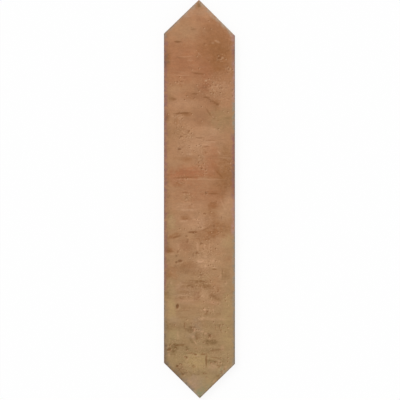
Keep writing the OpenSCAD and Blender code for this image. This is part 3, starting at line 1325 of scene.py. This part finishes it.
class Graph:
    """The nodes of a material or of the sky, with short ways to add and join them."""

    def __init__(self, owner: bpy.types.Material | bpy.types.World) -> None:
        """Starts with no nodes.

        Args:
            owner: The material, or the world that holds the sky.
        """
        owner.use_nodes = True
        self.owner = owner
        self.tree = owner.node_tree
        self.tree.nodes.clear()

    @cached_property
    def place(self) -> Socket:
        """Places on the piece."""
        return self.node("ShaderNodeTexCoord").outputs["Object"]

    def node(self, kind: str, **settings: object) -> bpy.types.Node:
        """Adds a node and sets its options.

        Args:
            kind: The node's type.
            settings: Its options.

        Returns:
            The node.
        """
        made = self.tree.nodes.new(kind)
        for name, value in settings.items():
            setattr(made, name, value)
        return made

    def feed(self, socket: Socket, value: object) -> None:
        """Joins a socket to another, or sets its own value.

        Args:
            socket: Socket that is fed.
            value: Another socket, or a value.
        """
        if isinstance(value, bpy.types.NodeSocket):
            self.tree.links.new(value, socket)
        else:
            socket.default_value = value

    def math(self, operation: str, first: object, second: object = 0.0, clamp: bool = False) -> Socket:
        """Adds a sum of two values.

        Args:
            operation: The sum's kind.
            first: Value or socket.
            second: Value or socket.
            clamp: Whether the result is held between 0 and 1.

        Returns:
            The result.
        """
        made = self.node("ShaderNodeMath", operation=operation, use_clamp=clamp)
        self.feed(made.inputs[0], first)
        self.feed(made.inputs[1], second)
        return made.outputs[0]

    def mix(self, share: object, first: object, second: object, blend: str = "MIX") -> Socket:
        """Mixes two colours.

        Args:
            share: How much of the second there is.
            first: Colour or socket.
            second: Colour or socket.
            blend: How they mix.

        Returns:
            The mixed colour.
        """
        made = self.node("ShaderNodeMix", data_type="RGBA", blend_type=blend)
        self.feed(made.inputs[0], share)
        self.feed(made.inputs[6], first)
        self.feed(made.inputs[7], second)
        return made.outputs[2]

    def span(
        self, value: object, low: float, high: float, to_low: float = 0.0, to_high: float = 1.0
    ) -> Socket:
        """Eases a value from one span to another.

        Args:
            value: Value or socket.
            low: Where the span starts.
            high: Where it ends.
            to_low: Result at its start.
            to_high: Result at its end.

        Returns:
            The result.
        """
        made = self.node("ShaderNodeMapRange", interpolation_type="SMOOTHSTEP")
        for socket, part in zip(made.inputs, (value, low, high, to_low, to_high)):
            self.feed(socket, part)
        return made.outputs[0]

    def cells(self, place: Socket, width: float) -> tuple[Socket, Socket]:
        """Adds round cells that lie anyhow.

        Args:
            place: Places on the piece.
            width: About how wide a cell is.

        Returns:
            How far in widths a place is from its cell's middle, and the cell's luck from 0 to 1.
        """
        made = self.node("ShaderNodeTexVoronoi")
        self.feed(made.inputs["Vector"], place)
        made.inputs["Scale"].default_value = 1 / width
        luck = self.node("ShaderNodeSeparateColor")
        self.feed(luck.inputs[0], made.outputs["Color"])
        return made.outputs["Distance"], luck.outputs[0]

    def moved(self, place: Socket, by: object, times: float = 1.0) -> Socket:
        """Moves places.

        Args:
            place: Places on the piece.
            by: Vector or socket that they move by.
            times: What it is multiplied by.

        Returns:
            The moved places.
        """
        made = self.node("ShaderNodeVectorMath", operation="MULTIPLY_ADD")
        self.feed(made.inputs[0], by)
        made.inputs[1].default_value = (times, times, times)
        self.feed(made.inputs[2], place)
        return made.outputs[0]

    def mark(self, name: str) -> Socket:
        """Reads a mark's share from the mesh."""
        made = self.node("ShaderNodeAttribute", attribute_name=name)
        return made.outputs["Fac"]


@dataclass(frozen=True)
class Pattern:
    """Cloudy noise that may be longer one way than another.

    Args:
        per_metre: How many times it repeats in a metre across the tile, along it and through it.
        shift: Moves it, so that two alike don't line up.
        detail: How many finer layers it has.
        roughness: How strong these are.
    """

    per_metre: tuple[float, float, float]
    shift: float = 0.0
    detail: float = 3.0
    roughness: float = 0.55

    def lay(self, graph: Graph) -> Socket:
        """Adds the noise, around a half.

        Args:
            graph: The material's nodes.

        Returns:
            The noise.
        """
        spread = graph.node("ShaderNodeMapping")
        graph.feed(spread.inputs["Vector"], graph.place)
        spread.inputs["Scale"].default_value = self.per_metre
        spread.inputs["Location"].default_value = (self.shift, self.shift, self.shift)
        made = graph.node("ShaderNodeTexNoise")
        graph.feed(made.inputs["Vector"], spread.outputs[0])
        made.inputs["Scale"].default_value = 1.0
        made.inputs["Detail"].default_value = self.detail
        made.inputs["Roughness"].default_value = self.roughness
        return made.outputs["Fac"]


@dataclass(frozen=True)
class Cloud:
    """One layer of the clay's uneven tone.

    Args:
        width: Size of its patches across the tile, along it and through it, in millimetres.
        swing: How much it changes the tone.
        detail: How many finer layers it has.
    """

    width: tuple[float, float, float]
    swing: float
    detail: float

    def lay(self, graph: Graph, shift: float) -> Socket:
        """Adds the layer.

        Args:
            graph: The material's nodes.
            shift: Moves the layer, so that two alike don't line up.

        Returns:
            How much the tone rises or falls.
        """
        across, along, through = (1 / (part * MM) for part in self.width)
        cloud = Pattern((across, along, through), shift, self.detail).lay(graph)
        return graph.math("MULTIPLY", graph.math("SUBTRACT", cloud, 0.5), self.swing)


@dataclass(frozen=True)
class FiredClay:
    """The finish of matt terracotta, mottled by the kiln, with painted shade in pits, pores and along the
    outline, and painted highlights beside pits and pores.

    Args:
        head: Colour of the face at the head.
        heart: Colour of the face in the middle.
        foot: Colour of the face at the foot.
        raw: Colour of the cut sides and back.
        core: Colour of the cut clay where the fire reached it less.
        pit_shade_and_dark_grain: Painted shade at the bottom of pits, drag marks and pores, and the colour
            of dark grains.
        pale_grit_and_highlight: Colour of pale grit, and of the highlights painted beside pits and pores.
        pit_shade_share: How strongly the painted shade shows in a pit or drag mark.
        lip_highlight_share: How strongly the painted highlight shows beside a pit.
        pore_width: Distance from one pore to the next where they are thick.
        pore_shares: Shares of the pores that are open on the face, and how many more are in gritty places
            and in cut clay.
        pore_depths: How strongly a pore's painted shade and the painted highlight beside it show.
        pore_edge: Where a pore ends and where it is deepest, in widths from its middle.
        pore_stray: How far a pore's outline strays, and over what distance.
        lip_highlight_shift: How the places move to set a pore's painted highlight beside it, away from the
            lamp.
        clouds: Layers of uneven tone, from wide to fine.
        cloud_step: Shift from one layer to the next.
        warmth: Layer that swings the colour between red and olive.
        warmth_shift: Shift of that layer.
        blotches: What makes the stains uneven.
        wear: What breaks up the arris colours.
        flash: Where the fire reached the cut clay less.
        haze: Where smoke reached the cut clay.
        torn: Pale and dark grains of the cut clay.
        grit: Pale and dark grains of gritty places.
        streaks: Lines that dragging leaves across the face.
        sheen: Duller and smoother spots.
        tooth: The surface's fine roughness.
        tints: Colours of the stains.
        rims: Colours of the worn arris; the thin dark lines of soot and ash are painted shade.
    """

    head: Colour = (172, 123, 88)
    heart: Colour = (170, 127, 92)
    foot: Colour = (159, 132, 94)
    raw: Colour = (165, 115, 82)
    core: Colour = (174, 127, 93)
    pit_shade_and_dark_grain: Colour = (123, 78, 40)
    pale_grit_and_highlight: Colour = (196, 156, 122)
    pit_shade_share: float = 0.72
    lip_highlight_share: float = 0.35
    pore_width: float = 2.4 * MM
    pore_shares: tuple[float, float, float] = (0.02, 0.60, 0.10)
    pore_depths: tuple[float, float] = (0.65, 0.60)
    pore_edge: tuple[float, float] = (0.36, 0.16)
    pore_stray: tuple[float, float] = (0.8 * MM, 1.2 * MM)
    lip_highlight_shift: tuple[float, float, float] = (-0.6 * MM, 0.6 * MM, 0.0)
    clouds: tuple[Cloud, ...] = (
        Cloud((46, 30, 30), 0.14, 3),
        Cloud((12, 7, 8), 0.24, 2),
        Cloud((3.6, 2.2, 2.5), 0.24, 2),
        Cloud((1.3, 1.0, 1.1), 0.26, 1),
    )
    cloud_step: float = 3.0
    warmth: Cloud = Cloud((30, 20, 20), 0.9, 3)
    warmth_shift: float = 11.0
    blotches: Pattern = Pattern((330, 430, 400), 14.0, 3, 0.6)
    wear: Pattern = Pattern((260, 260, 400), 21.0, 3, 0.6)
    flash: Pattern = Pattern((20, 14, 50), 5.0)
    haze: Pattern = Pattern((16, 12, 40), 8.0, 4)
    torn: Pattern = Pattern((420, 420, 600), 9.0)
    grit: Pattern = Pattern((700, 700, 700), 2.0, 1)
    streaks: Pattern = Pattern((70, 560, 300), 6.0, 2)
    sheen: Pattern = Pattern((180, 180, 180))
    tooth: Pattern = Pattern((900, 900, 900), 0.0, 4, 0.6)
    tints: dict[Tint, Colour] = field(
        default_factory=lambda: {
            Tint.SMOKE: (146, 97, 58),
            Tint.RUST: (163, 106, 72),
            Tint.PLUM: (147, 102, 70),
            Tint.OLIVE: (156, 128, 88),
            Tint.OCHRE: (170, 141, 97),
            Tint.MAUVE: (164, 134, 106),
            Tint.LICHEN: (134, 130, 100),
            Tint.EARTH: (141, 103, 67),
            Tint.UMBER: (124, 96, 60),
            Tint.PALE: (196, 153, 119),
        }
    )
    rims: dict[Rim, Colour] = field(
        default_factory=lambda: {
            Rim.BROWN: (134, 102, 62),
            Rim.MAROON: (145, 100, 94),
            Rim.KHAKI: (138, 119, 98),
            Rim.ROSE: (170, 129, 117),
            Rim.GREY: (150, 137, 120),
            Rim.DUST: (174, 153, 132),
            # Soot and ash, as thin lines along the outline, are painted shade of the rounded arris.
            Rim.SOOT: (92, 64, 47),
            Rim.ASH: (113, 101, 86),
        }
    )

    def build(self) -> bpy.types.Material:
        """Makes the material.

        Returns:
            The material, ready to put on the tile.
        """
        graph = Graph(bpy.data.materials.new("fired_clay"))
        colour = graph.mix(graph.mark("face"), self.cut_colour(graph), self.face_colour(graph))
        worn = graph.span(self.wear.lay(graph), low=0.34, high=0.66, to_low=0.30, to_high=1.45)
        # The rim colours include painted shade: thin dark lines of soot and ash along the outline.
        colour = self.stain(graph, colour, self.rims, worn)
        # Each pore is darkened with painted shade, and a painted highlight lies beside it, away from the
        # lamp.
        pore, lip_highlight = self.pores(graph)
        colour = graph.mix(lip_highlight, colour, linear(self.pale_grit_and_highlight))
        colour = graph.mix(pore, colour, linear(self.pit_shade_and_dark_grain))
        dull = graph.span(self.sheen.lay(graph), low=0.3, high=0.7, to_low=0.80, to_high=0.94)
        shader = graph.node("ShaderNodeBsdfPrincipled")
        shader.inputs["Specular IOR Level"].default_value = 0.2
        graph.feed(shader.inputs["Base Color"], self.mottle(graph, colour))
        graph.feed(shader.inputs["Roughness"], dull)
        graph.feed(shader.inputs["Normal"], self.roughen(graph, pore))
        out = graph.node("ShaderNodeOutputMaterial")
        graph.feed(out.inputs["Surface"], shader.outputs["BSDF"])
        return graph.owner

    @staticmethod
    def stain(graph: Graph, colour: Socket, shades: dict[Enum, Colour], uneven: Socket) -> Socket:
        """Lays marks of several shades over a colour, one after the other.

        Args:
            graph: The material's nodes.
            colour: The colour so far.
            shades: The shade of each mark.
            uneven: What a mark's strength is multiplied by.

        Returns:
            The stained colour.
        """
        for mark, shade in shades.items():
            share = graph.math("MULTIPLY", graph.mark(mark.value), uneven, clamp=True)
            colour = graph.mix(share, colour, linear(shade))
        return colour

    def face_colour(self, graph: Graph) -> Socket:
        """Colours the face from head to foot, then stains and marks it, with painted highlights beside the
        pits and painted shade in the pits and drag marks.

        Args:
            graph: The material's nodes.

        Returns:
            The face's colour.
        """
        parts = graph.node("ShaderNodeSeparateXYZ")
        graph.feed(parts.inputs[0], graph.place)
        along = parts.outputs["Y"]
        foot, head = CAD_BOX[0].y, CAD_BOX[1].y
        colour = graph.mix(graph.span(along, foot, 0.0), linear(self.foot), linear(self.heart))
        colour = graph.mix(graph.span(along, 0.0, head), colour, linear(self.head))
        warm = self.warmth.lay(graph, self.warmth_shift)
        for tint, sign in ((Tint.RUST, 1.0), (Tint.OLIVE, -1.0)):
            share = graph.math("MULTIPLY", warm, sign, clamp=True)
            colour = graph.mix(share, colour, linear(self.tints[tint]))
        swing = graph.span(self.blotches.lay(graph), low=0.30, high=0.70, to_low=-0.55, to_high=0.55)
        swing = graph.math("MULTIPLY", swing, graph.span(along, foot, head, to_low=1.0, to_high=0.2))
        colour = self.stain(graph, colour, self.tints, graph.math("ADD", swing, 1.0))
        colour = self.flecks(graph, colour)
        # Painted highlight beside each pit, on its side away from the lamp.
        pale = graph.math("MULTIPLY", graph.mark("lip_highlight"), self.lip_highlight_share)
        colour = graph.mix(pale, colour, linear(self.pale_grit_and_highlight))
        # Painted shade darkens the pits and drag marks.
        for press in Press:
            sunk = graph.math("MULTIPLY", graph.mark(press.value), self.pit_shade_share)
            colour = graph.mix(sunk, colour, linear(self.pit_shade_and_dark_grain))
        return colour

    def cut_colour(self, graph: Graph) -> Socket:
        """Colours the cut sides and the back, where the clay's own body shows.

        Args:
            graph: The material's nodes.

        Returns:
            The colour of the cut clay.
        """
        flash = graph.span(self.flash.lay(graph), low=0.36, high=0.66)
        colour = graph.mix(flash, linear(self.raw), linear(self.core))
        haze = graph.span(self.haze.lay(graph), low=0.52, high=0.72, to_high=0.5)
        colour = graph.mix(haze, colour, linear(self.tints[Tint.SMOKE]))
        torn = self.torn.lay(graph)
        colour = graph.mix(graph.span(torn, low=0.52, high=0.72, to_high=0.4), colour, linear(self.pale_grit_and_highlight))
        return graph.mix(graph.span(torn, low=0.46, high=0.28, to_high=0.5), colour, linear(self.pit_shade_and_dark_grain))

    def pores(self, graph: Graph) -> tuple[Socket, Socket]:
        """Opens pores, most of them in gritty places and in the cut clay, each darkened with painted shade
        and with a painted highlight beside it.

        Args:
            graph: The material's nodes.

        Returns:
            Shares of the pores, which set their painted shade and their bump, and of the painted highlights
            beside them, which only the face has.
        """
        stray, width = self.pore_stray
        wobble = graph.node("ShaderNodeTexNoise")
        graph.feed(wobble.inputs["Vector"], graph.place)
        wobble.inputs["Scale"].default_value = 1 / width
        loose = graph.moved(graph.place, wobble.outputs["Color"], stray)
        everywhere, in_grit, in_cut = self.pore_shares
        cut = graph.math("SUBTRACT", 1.0, graph.mark("face"))
        many = graph.math("MULTIPLY", graph.mark(Fleck.GRIT.value), in_grit)
        many = graph.math("ADD", graph.math("MULTIPLY", cut, in_cut), many)
        bar = graph.math("SUBTRACT", 1.0 - everywhere, many)
        shares = []
        for places, depth in zip((loose, graph.moved(loose, self.lip_highlight_shift)), self.pore_depths):
            away, luck = graph.cells(places, self.pore_width)
            is_open = graph.math("GREATER_THAN", luck, bar)
            sunk = graph.span(away, *self.pore_edge, to_high=depth)
            shares.append(graph.math("MULTIPLY", sunk, is_open))
        return shares[0], graph.math("MULTIPLY", shares[1], graph.mark("face"))

    def flecks(self, graph: Graph, colour: Socket) -> Socket:
        """Strews pale and dark grit, and draws streaks across the face, where the mesh says so.

        Args:
            graph: The material's nodes.
            colour: The colour so far.

        Returns:
            The flecked colour.
        """
        layers = ((Fleck.GRIT, self.grit, 0.60, 0.50), (Fleck.STREAK, self.streaks, 0.35, 0.35))
        for fleck, pattern, pale, dark in layers:
            here = graph.mark(fleck.value)
            grains = pattern.lay(graph)
            light = graph.span(grains, low=0.56, high=0.70, to_high=pale)
            shade = graph.span(grains, low=0.44, high=0.30, to_high=dark)
            colour = graph.mix(graph.math("MULTIPLY", light, here), colour, linear(self.pale_grit_and_highlight))
            colour = graph.mix(graph.math("MULTIPLY", shade, here), colour, linear(self.pit_shade_and_dark_grain))
        return colour

    def mottle(self, graph: Graph, colour: Socket) -> Socket:
        """Varies a colour's brightness at several scales.

        Args:
            graph: The material's nodes.
            colour: The colour so far.

        Returns:
            The mottled colour.
        """
        tone: object = 1.0
        for index, cloud in enumerate(self.clouds):
            tone = graph.math("ADD", cloud.lay(graph, self.cloud_step * index), tone)
        made = graph.node("ShaderNodeHueSaturation")
        graph.feed(made.inputs["Color"], colour)
        graph.feed(made.inputs["Value"], tone)
        return made.outputs["Color"]

    def roughen(self, graph: Graph, pore: Socket) -> Socket:
        """Roughens the surface finely and sinks its pores.

        Args:
            graph: The material's nodes.
            pore: Share of an open pore.

        Returns:
            The roughened normal.
        """
        bump = graph.node("ShaderNodeBump")
        bump.inputs["Strength"].default_value = 0.4
        bump.inputs["Distance"].default_value = 0.25 * MM
        graph.feed(bump.inputs["Height"], graph.math("SUBTRACT", self.tooth.lay(graph), pore))
        return bump.outputs["Normal"]


@dataclass
class FiredTile:
    """The tile: one piece of fired clay.

    Args:
        node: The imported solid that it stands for.
        outline: The solid's widest line.
        grid: Where the photograph's pixels lie.
        finish: The clay's finish.
    """

    node: bpy.types.Object
    outline: Outline
    grid: PhotoGrid
    finish: FiredClay

    def build(self) -> bpy.types.Object:
        """Models the tile and dresses it.

        Returns:
            The finished piece.
        """
        piece = ClayBlank(self.node, self.outline).build()
        Relief(piece, self.outline, self.grid).build()
        self.dress(piece)
        return piece

    def dress(self, piece: bpy.types.Object) -> None:
        """Gives the piece its finish and its place in the frame.

        Args:
            piece: The piece.
        """
        piece.data.materials.clear()
        piece.data.materials.append(self.finish.build())
        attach(piece, BODY)
        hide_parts(NODE)


@dataclass
class Studio:
    """White floor, soft light and a camera that looks straight down.

    Args:
        grid: Where the photograph's pixels lie.
        outline_height: Height of the tile's widest line, where the picture's scale holds.
        lens: Focal length in millimetres.
        sensor: Width of the sensor in millimetres.
        floor_side: Length of the floor's sides.
        floor_gap: How far the floor lies below the tile.
        floor_paint: How much light the floor gives back.
        floor_glow: Share of plain white in what the camera sees of it.
        sky: Share of full light that the sky gives a level face.
        sun_towards: Where the lamp is.
        sun_spread: How wide the lamp is, in degrees.
    """

    grid: PhotoGrid
    outline_height: float
    lens: float = 200.0
    sensor: float = 36.0
    floor_side: float = 6.0
    floor_gap: float = 0.1 * MM
    floor_paint: float = 0.95
    floor_glow: float = 0.88
    sky: float = 0.62
    sun_towards: tuple[float, float, float] = (-0.32, 0.38, 0.87)
    sun_spread: float = 40.0

    def build(self) -> None:
        """Sets up the floor, the lights, the sky and the camera."""
        self.build_floor()
        self.build_lights()
        self.build_sky()
        self.build_camera()
        bpy.context.scene.view_settings.view_transform = "Standard"

    def build_floor(self) -> None:
        """Lays a floor that the camera sees as white, with the tile's soft shadow."""
        bpy.ops.object.select_all(action="DESELECT")
        bpy.ops.mesh.primitive_plane_add(size=self.floor_side, location=(0, 0, -self.floor_gap))
        floor = bpy.context.object
        floor.name = "floor"
        graph = Graph(bpy.data.materials.new("white_floor"))
        paint = graph.node("ShaderNodeBsdfDiffuse")
        paint.inputs["Color"].default_value = (self.floor_paint, self.floor_paint, self.floor_paint, 1)
        glow = graph.node("ShaderNodeEmission")
        glow.inputs["Strength"].default_value = 1.0
        blend = graph.node("ShaderNodeMixShader")
        graph.feed(blend.inputs[0], graph.math("MULTIPLY", self.seen(graph), self.floor_glow))
        graph.feed(blend.inputs[1], paint.outputs[0])
        graph.feed(blend.inputs[2], glow.outputs[0])
        out = graph.node("ShaderNodeOutputMaterial")
        graph.feed(out.inputs["Surface"], blend.outputs[0])
        floor.data.materials.append(graph.owner)

    @staticmethod
    def seen(graph: Graph) -> Socket:
        """Tells what the camera sees, straight, in a gloss or through glass.

        Args:
            graph: Nodes of the floor or the sky.

        Returns:
            1 for what it sees, 0 for what only gives light.
        """
        path = graph.node("ShaderNodeLightPath")
        either = graph.math("MAXIMUM", path.outputs["Is Camera Ray"], path.outputs["Is Glossy Ray"])
        return graph.math("MAXIMUM", either, path.outputs["Is Transmission Ray"])

    def build_lights(self) -> None:
        """Hangs one wide, even lamp high on the left, towards the head.

        The lamp gives a level face what the sky leaves short of full light.
        """
        towards = Vector(self.sun_towards).normalized()
        bpy.ops.object.light_add(type="SUN", location=towards)
        lamp = bpy.context.object
        lamp.name = "key_lamp"
        lamp.data.angle = math.radians(self.sun_spread)
        lamp.data.energy = math.pi * (1 - self.sky) / towards.z
        lamp.rotation_euler = (-towards).to_track_quat("-Z", "Y").to_euler()

    def build_sky(self) -> None:
        """Fills the shade with an even white sky that the camera sees as white."""
        bpy.context.scene.world = bpy.data.worlds.new("sky")
        graph = Graph(bpy.context.scene.world)
        glow = graph.node("ShaderNodeBackground")
        glow.inputs["Color"].default_value = (1, 1, 1, 1)
        strength = graph.span(self.seen(graph), low=0.0, high=1.0, to_low=self.sky, to_high=1.0)
        graph.feed(glow.inputs["Strength"], strength)
        out = graph.node("ShaderNodeOutputWorld")
        graph.feed(out.inputs["Surface"], glow.outputs[0])

    def build_camera(self) -> None:
        """Hangs the camera over the tile, so that pixels fall where the photograph's do."""
        half_view = self.grid.side * self.grid.pixel / 2
        rise = half_view * self.lens / (self.sensor / 2)
        middle = self.grid.side / 2
        x, y = self.grid.place((middle, middle))
        bpy.ops.object.camera_add(location=(x, y, self.outline_height + rise), rotation=(0, 0, 0))
        camera = bpy.context.object
        camera.name = "camera"
        camera.data.lens = self.lens
        camera.data.sensor_width = self.sensor
        bpy.context.scene.camera = camera


def main() -> None:
    """Builds the tile and its studio."""
    logging.basicConfig(level=logging.INFO, format="%(name)s: %(message)s")
    grid = PhotoGrid()
    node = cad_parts[NODE]
    outline = Outline.of_node(node)
    tile = FiredTile(node, outline, grid, FiredClay()).build()
    tile.data.calc_loop_triangles()
    LOG.info("%s: %d triangles", tile.name, len(tile.data.loop_triangles))
    Studio(grid, outline.corners[0].z).build()


if __name__ == "__main__":
    main()
